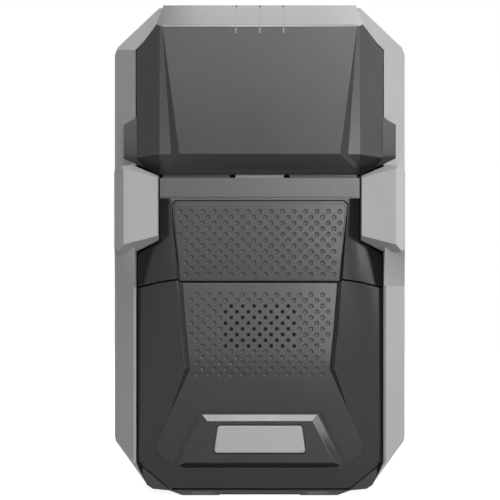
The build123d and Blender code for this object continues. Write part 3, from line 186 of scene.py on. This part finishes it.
def board(name):
    """Green solder mask with faint copper tracks under it."""
    g = Graph(name)
    wave = g.tree.nodes.new("ShaderNodeTexWave")
    wave.inputs["Scale"].default_value = 160
    wave.inputs["Distortion"].default_value = 6
    wave.inputs["Detail"].default_value = 1
    g.join(g.coords, wave.inputs["Vector"])
    tracks = g.ramp(wave.outputs["Fac"], [(0.45, [0.008, 0.085, 0.03]), (0.6, [0.02, 0.16, 0.06])])
    # Whatever stands in front of the board's own face is a black component
    place = g.tree.nodes.new("ShaderNodeSeparateXYZ")
    g.join(g.coords, place.inputs["Vector"])
    ahead = g.tree.nodes.new("ShaderNodeMath")
    ahead.operation = "LESS_THAN"
    ahead.inputs[1].default_value = BOARD_FACE_Y - 0.0001
    g.join(place.outputs["Y"], ahead.inputs[0])
    package = g.ramp(g.noise(500, 4), [(0.3, [0.012, 0.012, 0.013]), (0.7, [0.03, 0.03, 0.032])])
    g.join(g.mix(ahead.outputs[0], tracks, package), g.shader.inputs["Base Color"])
    g.join(g.ramp(g.noise(300, 4), [(0.3, 0.3), (0.7, 0.42)]), g.shader.inputs["Roughness"])
    g.bump(wave.outputs["Fac"], 0.3, 0.00004)
    return g.material


def cloth(name, colour):
    """Woven dust mesh."""
    g = Graph(name)
    weave = g.tree.nodes.new("ShaderNodeTexChecker")
    weave.inputs["Scale"].default_value = 2500
    weave.inputs["Color1"].default_value = (*[c * 0.6 for c in colour], 1)
    weave.inputs["Color2"].default_value = (*colour, 1)
    g.join(g.coords, weave.inputs["Vector"])
    g.join(weave.outputs["Color"], g.shader.inputs["Base Color"])
    g.join(g.ramp(g.noise(900, 3), [(0.3, 0.8), (0.7, 0.95)]), g.shader.inputs["Roughness"])
    g.bump(weave.outputs["Fac"], 0.5, 0.00005)
    return g.material


def clear(name):
    """Slightly cloudy clear moulding."""
    g = Graph(name)
    g.join(g.ramp(g.noise(400, 4), [(0.3, [0.82, 0.88, 0.88]), (0.7, [0.92, 0.95, 0.95])]),
           g.shader.inputs["Base Color"])
    g.join(g.ramp(g.noise(500, 4), [(0.3, 0.12), (0.7, 0.25)]), g.shader.inputs["Roughness"])
    g.bump(g.noise(2500, 3), 0.15, 0.00002)
    g.set(Transmission_Weight=0.6, IOR=1.49)
    return g.material


# Object coordinates are those of the frame, in metres. The front face of the bare board lies at this y
BOARD_FACE_Y = 0.0164
DARK = [0.014, 0.014, 0.0143]
LIGHT = [0.315, 0.315, 0.318]
FINISH = {
    "dark_shell": plastic("dark_moulding", DARK, 0.19, specular=0.35, dusty=0.012),
    "light_shell": plastic("light_moulding", LIGHT, 0.55, tint=0.025),
    "light_button": plastic("button_moulding", [0.348, 0.348, 0.351], 0.45, depth=0.2, tint=0.02),
    "black_plastic": plastic("black_moulding", [0.02, 0.02, 0.021], 0.55),
    "steel": metal("ground_steel", [0.62, 0.62, 0.63], 0.28, (8, 1, 1)),
    "spring_steel": metal("spring_wire", [0.55, 0.55, 0.56], 0.3),
    "dark_steel": metal("oxide_steel", [0.06, 0.06, 0.065], 0.42),
    "frame_steel": metal("plated_steel", [0.6, 0.61, 0.62], 0.38, (1, 1, 6)),
    "socket_steel": metal("plated_shell", [0.7, 0.7, 0.7], 0.25, (6, 1, 1)),
    "foot_rubber": plastic("foot_moulding", [0.045, 0.045, 0.047], 0.6),
    "gloss_rubber": rubber("pad_rubber", [0.05, 0.05, 0.05], 0.35, 0.6),
    "core_plastic": plastic("core_moulding", [0.62, 0.62, 0.6], 0.5, tint=0.03),
    "label_paper": paper("label_stock", [0.86, 0.86, 0.83]),
    "roller_rubber": rubber("roller_rubber", [0.03, 0.03, 0.03]),
    "bush_brass": metal("turned_brass", [0.72, 0.52, 0.22], 0.3, (6, 1, 1)),
    "gear_plastic": plastic("acetal", [0.72, 0.71, 0.66], 0.4, tint=0.02),
    "motor_can": metal("motor_can", [0.52, 0.53, 0.54], 0.35, (6, 1, 1)),
    "heat_sink": metal("aluminium", [0.72, 0.73, 0.74], 0.36, (6, 1, 1)),
    "head_ceramic": plastic("ceramic", [0.72, 0.7, 0.64], 0.25, tint=0.03),
    "circuit_board": board("solder_mask"),
    "clear_plastic": clear("clear_moulding"),
    "battery_wrap": plastic("shrink_wrap", [0.03, 0.08, 0.24], 0.35, tint=0.1),
    "mesh_cloth": cloth("dust_mesh", [0.06, 0.06, 0.06]),
    "tag_film": metal("copper_film", [0.72, 0.42, 0.25], 0.35),
}
SLOT_OF = {part["node"]: part["material_slot"] for part in frame["record"]["subparts"]}

# Mouldings whose outer edges are slightly rounded, with the radius in millimetres
ROUNDED = {"hood": 0.5, "mid_panel": 0.22, "front_door": 0.22, "left_rail": 0.9, "right_rail": 0.9,
           "open_button": 0.2, "rear_housing": 0.3, "base_foot": 0.2}


def round_edges(obj, radius):
    """Joins the loaded faces at their edges and rounds what is sharper than 14 degrees."""
    weld = obj.modifiers.new("join", "WELD")
    weld.merge_threshold = 0.000002
    flat = obj.modifiers.new("flat", "DECIMATE")
    flat.decimate_type = "DISSOLVE"
    flat.angle_limit = math.radians(0.5)
    bevel = obj.modifiers.new("round", "BEVEL")
    bevel.width = radius * MM
    bevel.segments = 2
    bevel.limit_method = "ANGLE"
    bevel.angle_limit = math.radians(14)
    bevel.use_clamp_overlap = True
    shading = obj.modifiers.new("shading", "WEIGHTED_NORMAL")
    shading.keep_sharp = False


for name, node in frame["nodes"].items():
    for slot in node.material_slots:
        slot.material = FINISH[SLOT_OF[name]]
    if name in ROUNDED:
        round_edges(node, ROUNDED[name])


# Mesh pieces, whose sizes are in millimetres

def mesh_piece(name, points, faces, slot, body):
    mesh = bpy.data.meshes.new(name)
    mesh.from_pydata([tuple(c * MM for c in p) for p in points], [], faces)
    mesh.validate()
    mesh.update()
    piece = bpy.data.objects.new(name, mesh)
    bpy.context.scene.collection.objects.link(piece)
    piece.data.materials.append(FINISH[slot])
    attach(piece, body)
    return piece


def band(start, count, following=None):
    """Faces between a ring of points and the following ring, which is the next one unless it is given."""
    following = start + count if following is None else following
    return [(start + i, start + (i + 1) % count, following + (i + 1) % count, following + i)
            for i in range(count)]


def caps(first, last, count):
    """The two end faces of a stack of rings, given where its first and last ring start."""
    return [tuple(range(first + count - 1, first - 1, -1)), tuple(range(last, last + count))]


# The dimpled fields: sides of a dimple, and the thickness of the skin over the moulding
SIDES = 14
SKIN_T = 0.3
# How far in from the edge and how deep each ring of a skin's rounded edge lies
EDGE_ROUND = ((0.2, 0.0), (0.06, 0.04), (0.0, 0.14), (0.0, 1.5))
# Each ring of a dimple, as a share of its radius and a depth
BOWL = ((1.0, 0.0), (0.9, 0.04), (0.72, 0.085), (0.45, 0.11))
DIMPLE_R = 0.74
HOLE_R = 0.6
# A flat face whose middle is nearer than this share of the radius lies inside a rim's polygon
RIM_SHARE = 0.955
PITCH_X = 3.5
PITCH_Z = 1.75


def closed(side):
    """The whole outline of a piece that is the same on both sides, from its right side."""
    return side + [(-x, z) for x, z in reversed(side)]


def inset(outline, width):
    """The outline moved in by the width, each corner along its own bisector."""
    moved = []
    for i, here in enumerate(outline):
        before = (Vector(here) - Vector(outline[i - 1])).normalized()
        after = (Vector(outline[(i + 1) % len(outline)]) - Vector(here)).normalized()
        normal_a, normal_b = Vector((before.y, -before.x)), Vector((after.y, -after.x))
        along = (normal_a + normal_b) / (1 + normal_a.dot(normal_b))
        moved.append(tuple(Vector(here) + along * width))
    return moved


def creased(front, z):
    """Whether a skin's front bends at this height. It then gets an edge across it there."""
    return abs(front(z + 0.5) + front(z - 0.5) - 2 * front(z)) > 1e-6


def dimpled_skin(name, side, front, spots, holes, body):
    """Moulded field skin with a shallow round bowl at each spot and a through hole at each hole.

    side is the right edge from top to bottom. front(z) is how far the skin lies in front of the origin.
    The edge is rounded, and its wall goes down into the moulding that carries the skin.
    """
    flat, edges = [], []
    edge = closed(side)
    outline = inset(edge, EDGE_ROUND[0][0])

    def loop(points):
        start = len(flat)
        flat.extend(Vector(p) for p in points)
        edges.extend((start + i, start + (i + 1) % len(points)) for i in range(len(points)))

    def ring(x, z, radius):
        turn = 2 * math.pi / SIDES
        return [(x + radius * math.cos(i * turn), z + radius * math.sin(i * turn)) for i in range(SIDES)]

    loop(outline)
    count = len(outline)
    edges.extend((i, count - 1 - i) for i, (_, z) in enumerate(side) if creased(front, z))
    rims = [(x, z, DIMPLE_R) for x, z in spots] + [(x, z, HOLE_R) for x, z in holes]
    for rim in rims:
        loop(ring(*rim))
    plane, _, triangles = delaunay_2d_cdt(flat, edges, [], 1, 1e-6)[:3]
    cells = {}
    for rim in rims:
        cells.setdefault((round(rim[0]), round(rim[1])), []).append(rim)

    def in_rim(point):
        near = [rim for i in (-1, 0, 1) for k in (-1, 0, 1)
                for rim in cells.get((round(point[0]) + i, round(point[1]) + k), [])]
        return any(math.dist(point, (x, z)) < radius * RIM_SHARE for x, z, radius in near)

    points = [(p[0], -front(p[1]), p[1]) for p in plane]
    faces = [tuple(face) for face in triangles
             if not in_rim(sum((plane[i] for i in face), Vector((0, 0))) / len(face))]

    def tube(levels, x, z, radius):
        """Rings of points, each (share of the radius, depth), joined by faces."""
        start = len(points)
        for share, depth in levels:
            points.extend((px, depth - front(pz), pz) for px, pz in ring(x, z, radius * share))
        for ring_start in range(start, len(points) - SIDES, SIDES):
            faces.extend(band(ring_start, SIDES))

    for x, z in spots:
        tube(BOWL, x, z, DIMPLE_R)
        faces.append(tuple(range(len(points) - SIDES, len(points))))
    for x, z in holes:
        tube(((1.0, 0.0), (1.0, SKIN_T)), x, z, HOLE_R)
    start = len(points)
    for width, depth in EDGE_ROUND:
        points += [(x, depth - front(z), z) for x, z in inset(edge, width)]
    for ring_start in range(start, len(points) - count, count):
        faces.extend(band(ring_start, count))
    return mesh_piece(name, points, faces, "dark_shell", body)


def lattice(top_z, rows, first_offset, half_width, margin):
    """Staggered spots. half_width(z) is the field's half width at that height."""
    spots = []
    for row in range(rows):
        z = top_z - row * PITCH_Z
        start = PITCH_X / 2 if (row + first_offset) % 2 else 0.0
        reach = half_width(z) - margin
        x = start
        while x <= reach:
            spots += [(x, z)] if x == 0 else [(x, z), (-x, z)]
            x += PITCH_X
    return spots


def slope(outline):
    """Half width of a field at a height, between the points of its right side."""
    def width(z):
        for (x1, z1), (x2, z2) in zip(outline, outline[1:]):
            if z2 <= z <= z1:
                return x1 + (x2 - x1) * (z1 - z) / (z1 - z2)
        return 0
    return width


def with_heights(side, heights):
    """The side with a point added where it passes each height on its way down."""
    points = [side[0]]
    for (x1, z1), (x2, z2) in zip(side, side[1:]):
        points += [(x1 + (x2 - x1) * (z1 - z) / (z1 - z2), z) for z in heights if z2 < z < z1]
        points.append((x2, z2))
    return points


# How far the floor of the fields lies in front of the origin at the seam between them
FIELD = 14.4
# The mid field leans forward by MID_LEAN over MID_RISE, from its foot up
MID_FOOT_Z = 66.8
MID_RISE = 24.6
MID_LEAN = 1.1
MID_SIDE = [(25.25, 90.45), (26.35, 89.5), (24.55, 66.85)]
# Heights between rows of dimples. Below each, the door's field falls back by FALL more for each millimetre
FOLDS = (44.12, 42.37, 40.62, 38.87)
FALL = 0.0055
DOOR_SIDE = with_heights(
    [(23.85, 66.1), (22.75, 52.0), (21.55, 39.8), (31.25, 17.9), (31.8, 16.3), (31.85, 15.0), (31.4, 13.9),
     (30.6, 13.0), (27.0, 10.1), (26.2, 10.1), (18.6, 26.4)], FOLDS)


def mid_front(z):
    """The mid field is shallow at its top and deep at the seam."""
    return FIELD + (z - MID_FOOT_Z) * MID_LEAN / MID_RISE + SKIN_T


def door_front(z):
    """The door's field falls back below its waist."""
    return FIELD + SKIN_T - FALL * sum(max(0, fold - z) for fold in FOLDS)


GRILLE_TOP_Z = 59.0
GRILLE_ROWS = [(GRILLE_TOP_Z - i * PITCH_Z, 6 if i % 2 == 0 else 7) for i in range(8)]
holes = [((i - (count - 1) / 2) * PITCH_X, z) for z, count in GRILLE_ROWS for i in range(count)]
mid_spots = lattice(top_z=88.0, rows=12, first_offset=0, half_width=slope(MID_SIDE), margin=1.0)
door_all = lattice(top_z=62.5, rows=15, first_offset=1, half_width=slope(DOOR_SIDE), margin=1.4)
door_spots = [spot for spot in door_all if min(math.dist(spot, hole) for hole in holes) > 1.0]
dimpled_skin("mid_field_skin", MID_SIDE, mid_front, mid_spots, [], "housing")
dimpled_skin("door_field_skin", DOOR_SIDE, door_front, door_spots, holes, "door")


def wound_roll(name, centre_y, centre_z, inner, outer, half_width):
    """Label stock wound on its core: the turns show as fine ridges on both sides."""
    turns = 34
    around = 72
    step = (outer - inner) / turns
    profile = []
    for turn in range(turns):
        proud = 0.05 * math.sin(turn * 2.4) + 0.03 * math.sin(turn * 0.7)
        crest = half_width + proud - 0.02
        profile += [(inner + turn * step, half_width - 0.09), (inner + (turn + 0.25) * step, crest),
                    (inner + (turn + 0.8) * step, crest)]
    profile.append((outer, half_width - 0.06))
    section = [(r, x) for r, x in profile] + [(r, -x) for r, x in reversed(profile)]
    points, faces = [], []
    for i in range(around):
        a = 2 * math.pi * i / around
        points += [(x, centre_y + r * math.cos(a), centre_z + r * math.sin(a)) for r, x in section]
    count = len(section)
    for i in range(around):
        faces += band(i * count, count, (i + 1) % around * count)
    return mesh_piece(name, points, faces, "label_paper", "roll")


windings = wound_roll("label_windings", centre_y=3.6, centre_z=38.5, inner=6.3, outer=14.5, half_width=7.45)
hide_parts("label_roll")


def spring_pair(seats, way, side, radius, wire, turns, length):
    """Two round-wire compression springs. Each stands on its seat along way, and side is across it."""
    way, side = Vector(way), Vector(side)
    other = way.cross(side)
    steps = round(turns * 18)
    points, faces = [], []

    def centre(seat, share):
        angle = 2 * math.pi * turns * share
        rise = wire + (length - 2 * wire) * (share - 0.08 * math.sin(2 * math.pi * share))
        return Vector(seat) + way * rise + (side * math.cos(angle) + other * math.sin(angle)) * radius

    for seat in seats:
        start = len(points)
        for i in range(steps + 1):
            here = centre(seat, i / steps)
            ahead = (centre(seat, (i + 0.5) / steps) - centre(seat, (i - 0.5) / steps)).normalized()
            out = here - Vector(seat)
            out = (out - way * out.dot(way)).normalized()
            up = ahead.cross(out)
            for k in range(WIRE_SIDES):
                a = 2 * math.pi * k / WIRE_SIDES
                points.append(here + (out * math.cos(a) + up * math.sin(a)) * wire)
        for ring_start in range(start, len(points) - WIRE_SIDES, WIRE_SIDES):
            faces += band(ring_start, WIRE_SIDES)
        faces += caps(start, len(points) - WIRE_SIDES, WIRE_SIDES)
    return points, faces


WIRE_SIDES = 8
COIL_TURNS = 4.5
LATCH_FOOT_Z = 20.0
LATCH_STOP_Z = 26.5
LATCH_SPRING_X = 2.3
LATCH_SPRING_Y = -8.45
HEAD_SEAT_Y = -15.2
HEAD_BACK_Y = -10.6
HEAD_SPRING_X = 6
HEAD_SPRING_Z = 127.0

latch_length = LATCH_STOP_Z - LATCH_FOOT_Z
seats = [(x, LATCH_SPRING_Y, LATCH_FOOT_Z) for x in (-LATCH_SPRING_X, LATCH_SPRING_X)]
coils = spring_pair(seats, way=(0, 0, 1), side=(1, 0, 0), radius=0.9, wire=0.18, turns=COIL_TURNS,
                    length=latch_length)
piece = mesh_piece("latch_coils", *coils, SLOT_OF["latch_springs"], "door")
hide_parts("latch_springs")
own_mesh(piece)

head_length = HEAD_BACK_Y - HEAD_SEAT_Y
seats = [(x, HEAD_SEAT_Y, HEAD_SPRING_Z) for x in (-HEAD_SPRING_X, HEAD_SPRING_X)]
coils = spring_pair(seats, way=(0, 1, 0), side=(1, 0, 0), radius=1.5, wire=0.2, turns=COIL_TURNS,
                    length=head_length)
piece = mesh_piece("head_coils", *coils, SLOT_OF["head_springs"], "housing")
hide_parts("head_springs")
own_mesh(piece)


# The hood's front top edge as (y, z), and the runs of its top and front faces from there
HOOD_EDGE = (-22.3, 143.9)
HOOD_TOP_RUN = (13.5, 8.1)
HOOD_FRONT_RUN = (-0.9, -38.7)
# Where the outer guide marks cross the edge, and half the width of one
MARK_X = 7.24
MARK_HALF = 0.26
# The thickness of the light fill in a mark, which is a painted highlight
HIGHLIGHT_FILL_T = 0.2


def hood_front(z):
    """How far the hood's front face lies in front of the origin."""
    return -HOOD_EDGE[0] + HOOD_FRONT_RUN[0] * (HOOD_EDGE[1] - z) / HOOD_FRONT_RUN[1]


def mark_highlight_fills(name, places, low_z, high_z, half_width, sunk):
    """Light fill in the lower ends of the hood's guide marks, domed across its width: a painted highlight for
    the light that the marks' ends catch.
    """
    points, faces = [], []
    across = [(-1.0, 0.25), (-0.8, 0.0), (0.8, 0.0), (1.0, 0.25), (1.0, 0.9), (-1.0, 0.9)]
    count = len(across)
    levels = ((low_z, 0.2), (low_z + 0.12, 0.0), (high_z - 0.12, 0.0), (high_z, 0.2))
    for place in places:
        start = len(points)
        for z, drop in levels:
            front = hood_front(z) - sunk
            points += [(place + half_width * share, (depth + drop) * HIGHLIGHT_FILL_T - front, z)
                       for share, depth in across]
        for ring_start in range(start, len(points) - count, count):
            faces += band(ring_start, count)
        faces += caps(start, len(points) - count, count)
    return mesh_piece(name, points, faces, "light_shell", "housing")


def edge_bead(name, runs, edge, back, down, half, body):
    """A narrow moulded bead over a long edge. back and down lead away from the edge along its two faces."""
    edge, back, down = Vector(edge), Vector(back).normalized(), Vector(down).normalized()
    inwards = (back + down).normalized()
    along = (back - down).normalized()
    rim, crown = edge - inwards * 0.03, edge - inwards * 0.06
    foot = rim - along * half
    section = [edge + back * (2.2 * half), rim + along * half, crown + along * half * 0.8,
               crown - along * half * 0.8, foot, foot + Vector((0.5, 0)), edge + inwards * 0.6]
    points, faces = [], []
    count = len(section)
    for left, right in runs:
        start = len(points)
        points += [(x, p.x, p.y) for x in (left, right) for p in section]
        faces += band(start, count)
        faces += caps(start, start + count, count)
    return mesh_piece(name, points, faces, "dark_shell", body)


# Light fills in the marks' lower ends are painted highlights, standing for light caught by the groove ends
mark_highlight_fills("mark_highlight_fill", (-MARK_X, 0, MARK_X), low_z=141.7, high_z=143.35, half_width=0.2, sunk=0.04)
gap_in, gap_out, bead_end = MARK_X - MARK_HALF, MARK_X + MARK_HALF, 29.4
bead_runs = ((-bead_end, -gap_out), (-gap_in, -MARK_HALF), (MARK_HALF, gap_in), (gap_out, bead_end))
edge_bead("hood_bead", bead_runs, HOOD_EDGE, HOOD_TOP_RUN, HOOD_FRONT_RUN, half=0.42, body="housing")


# Floor, light and camera

def seen(tree):
    """1 for rays that show the background itself: camera, glossy and transmission rays."""
    path = tree.nodes.new("ShaderNodeLightPath")
    either = path.outputs["Is Camera Ray"]
    for name in ("Is Glossy Ray", "Is Transmission Ray"):
        larger = tree.nodes.new("ShaderNodeMath")
        larger.operation = "MAXIMUM"
        tree.links.new(either, larger.inputs[0])
        tree.links.new(path.outputs[name], larger.inputs[1])
        either = larger.outputs[0]
    return either


def floor_finish(bounce, glow):
    """Pale floor that looks white, keeps the object's shadow and gives the object a softer bounce of light."""
    g = Graph("floor")
    g.join(g.ramp(g.noise(3, 3), [(0.3, 0.28), (0.7, 0.3)]), g.shader.inputs["Base Color"])
    g.set(Roughness=0.9, Emission_Color=(1, 1, 1, 1), Emission_Strength=glow)
    dull = g.tree.nodes.new("ShaderNodeBsdfDiffuse")
    dull.inputs["Color"].default_value = (bounce, bounce, bounce, 1)
    choice = g.tree.nodes.new("ShaderNodeMixShader")
    g.join(seen(g.tree), choice.inputs[0])
    g.join(dull.outputs[0], choice.inputs[1])
    g.join(g.shader.outputs[0], choice.inputs[2])
    g.join(choice.outputs[0], g.out.inputs["Surface"])
    return g.material


REACH = 0.7
floor_mesh = bpy.data.meshes.new("floor")
floor_mesh.from_pydata([(-REACH, -REACH, 0), (REACH, -REACH, 0), (REACH, REACH, 0), (-REACH, REACH, 0)], [],
                       [(0, 1, 2, 3)])
floor = bpy.data.objects.new("floor", floor_mesh)
floor.data.materials.append(floor_finish(bounce=0.3, glow=0.9))
bpy.context.scene.collection.objects.link(floor)

world = bpy.data.worlds.new("studio")
bpy.context.scene.world = world
world.use_nodes = True
tree = world.node_tree
tree.nodes.clear()
choice = tree.nodes.new("ShaderNodeMixShader")
tree.links.new(seen(tree), choice.inputs[0])
# The room's own light on the object is faint. The white is only seen
for place, strength in ((1, 0.01), (2, 1.0)):
    background = tree.nodes.new("ShaderNodeBackground")
    background.inputs["Color"].default_value = (1, 1, 1, 1)
    background.inputs["Strength"].default_value = strength
    tree.links.new(background.outputs[0], choice.inputs[place])
tree.links.new(choice.outputs[0], tree.nodes.new("ShaderNodeOutputWorld").inputs["Surface"])


MIDDLE = Vector((0, 0, 0.08))
LAMP_DISTANCE = 0.9
# Name, azimuth and elevation in degrees, power in watts and size in metres.
# Azimuth 0 is in front of the object, and 90 on its right as the camera sees it
LAMPS = (
    ("front_high", 0, 35, 1.7, 0.32),
    ("front_mid", 0, 20, 1.0, 0.32),
    ("front_upper", 0, 9, 0.17, 0.32),
    ("front_low", 0, -2.5, 0.36, 0.2),
    ("front_right", 15, 8, 0.9, 0.32),
    ("seam_right", 8.5, -2.5, 0.55, 0.1),
    ("strip_right", 7.5, 22, 0.42, 0.16),
    ("wing_left", -17, 3, 0.22, 0.14),
    ("wing_right", 17, 2, 0.1, 0.14),
    ("facet_right", 38, -3, 0.12, 0.12),
    ("facet_left", -38, -3, 0.04, 0.12),
    ("facet_far_right", 58, -2, 0.07, 0.14),
    ("right", 60, 10, 2.2, 0.32),
    ("side_right", 95, 8, 0.38, 0.32),
    ("rear_right", 125, 3, 3.6, 0.32),
    ("left", -70, 15, 0.19, 0.32),
    ("rear_left", -150, 25, 0.8, 0.32),
    ("edge", 0, 68, 0.6, 0.12),
    ("top", 0, 75, 3.1, 0.32),
    ("rear_top", 170, 60, 1.0, 0.32),
    ("rear_top_right", 150, 60, 0.9, 0.32),
)
for name, azimuth, elevation, power, size in LAMPS:
    a, e = math.radians(azimuth), math.radians(elevation)
    way = Vector((math.sin(a) * math.cos(e), -math.cos(a) * math.cos(e), math.sin(e)))
    light = bpy.data.lights.new(name, "AREA")
    light.shape = "RECTANGLE"
    light.size = light.size_y = size
    light.energy = power
    lamp = bpy.data.objects.new(name, light)
    lamp.location = MIDDLE + way * LAMP_DISTANCE
    lamp.rotation_mode = "QUATERNION"
    lamp.rotation_quaternion = (-way).to_track_quat("-Z", "Y")
    bpy.context.scene.collection.objects.link(lamp)

CAMERA_DISTANCE = 0.496
CAMERA_HEIGHT = 0.0762
camera_data = bpy.data.cameras.new("camera")
camera_data.lens = 112.94
camera_data.sensor_width = 36
camera_data.shift_x = -0.0195
camera = bpy.data.objects.new("camera", camera_data)
camera.location = (0, -CAMERA_DISTANCE, CAMERA_HEIGHT)
camera.rotation_euler = (math.radians(90), 0, 0)
bpy.context.scene.collection.objects.link(camera)
bpy.context.scene.camera = camera
bpy.context.scene.view_settings.view_transform = "Standard"
